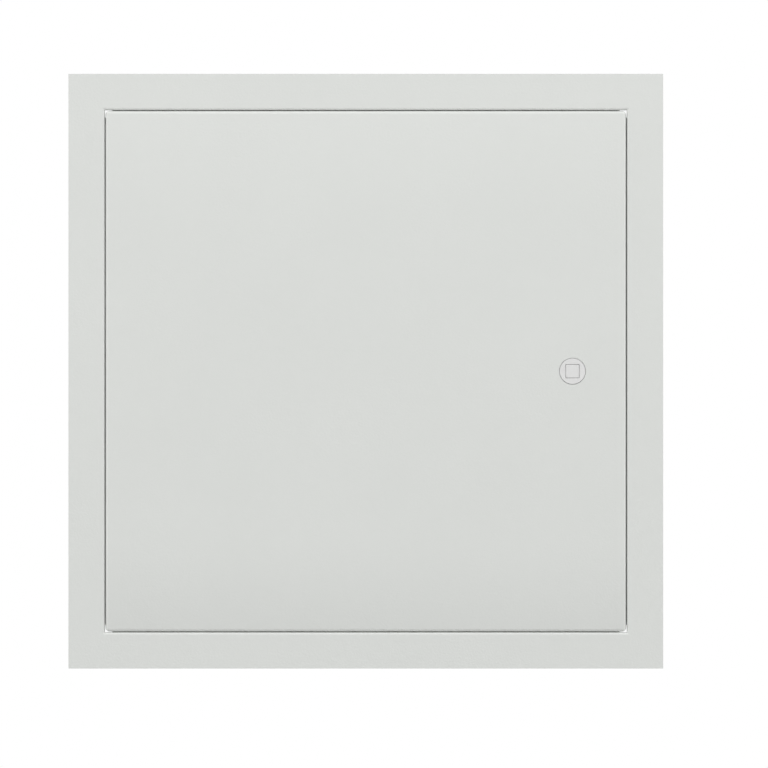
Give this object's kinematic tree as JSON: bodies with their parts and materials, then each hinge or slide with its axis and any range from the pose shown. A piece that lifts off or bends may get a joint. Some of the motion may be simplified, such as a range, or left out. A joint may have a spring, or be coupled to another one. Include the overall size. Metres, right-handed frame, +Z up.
{
  "type": "access panel",
  "caption": "Square steel access panel: flush hinged door in a wide flat picture frame, opened with a square key at a shuttered quarter-turn lock.",
  "frame": {"origin": "centre of the square panel, on the plane of the flange's back face, which is the surface of the ceiling or wall", "axes": "+Z up as the panel stands in the picture, +X towards the lock, +Y back through the ceiling or wall, so the face looks along -Y. For a ceiling the panel is turned so that -Y points down"},
  "size_m": [0.345, 0.046, 0.345],
  "materials": {
    "powder_coat": "satin off-white powder coat on mild steel sheet",
    "zinc_plate": "bright zinc plate",
    "white_nylon": "moulded white nylon",
    "grey_nylon": "moulded dark grey nylon",
    "black_rubber": "extruded black rubber"
  },
  "bodies": {
    "frame": {"frame": "powder_coat", "stop_angle_top": "powder_coat", "stop_angle_bottom": "powder_coat", "stop_angle_lock_side": "powder_coat", "seal_top": "black_rubber", "seal_bottom": "black_rubber", "seal_lock_side": "black_rubber", "hinge_bush_top": "grey_nylon", "hinge_bush_bottom": "grey_nylon"},
    "door": {"door_tray": "powder_coat", "spring_pin_bracket": "powder_coat", "hinge_pin_spring": "zinc_plate", "pivot_bracket": "powder_coat", "pivot_pin": "zinc_plate", "lock_housing": "grey_nylon", "lock_studs": "zinc_plate", "lock_washers": "zinc_plate", "lock_nuts": "zinc_plate"},
    "hinge_pin": {"spring_pin": "zinc_plate", "spring_pin_clip": "zinc_plate", "spring_pin_knob": "grey_nylon"},
    "latch": {"lock_face": "white_nylon", "lock_rotor": "white_nylon", "shutter_spring": "zinc_plate", "lock_cam": "zinc_plate", "cam_washer": "zinc_plate", "cam_screw": "zinc_plate"},
    "shutter": {"key_shutter": "white_nylon"}
  },
  "joints": [
    {"name": "door_swing", "type": "hinge", "parent": "frame", "child": "door", "pos_m": [-0.1151, 0.0048, 0], "axis": [0, 0, -1], "range_deg": [0, 105]},
    {"name": "latch_turn", "type": "hinge", "parent": "door", "child": "latch", "pos_m": [0.1199, 0, 0], "axis": [0, -1, 0], "range_deg": [0, 90]},
    {"name": "hinge_pin_pull", "type": "slide", "parent": "door", "child": "hinge_pin", "axis": [0, 0, -1], "range_m": [0, 0.0065], "stiffness_N_per_m": 800, "springref_m": -0.006, "deforming": ["hinge_pin_spring"]},
    {"name": "shutter_push", "type": "slide", "parent": "latch", "child": "shutter", "axis": [0, 1, 0], "range_m": [0, 0.005], "stiffness_N_per_m": 300, "springref_m": -0.004, "deforming": ["shutter_spring"]}
  ]
}
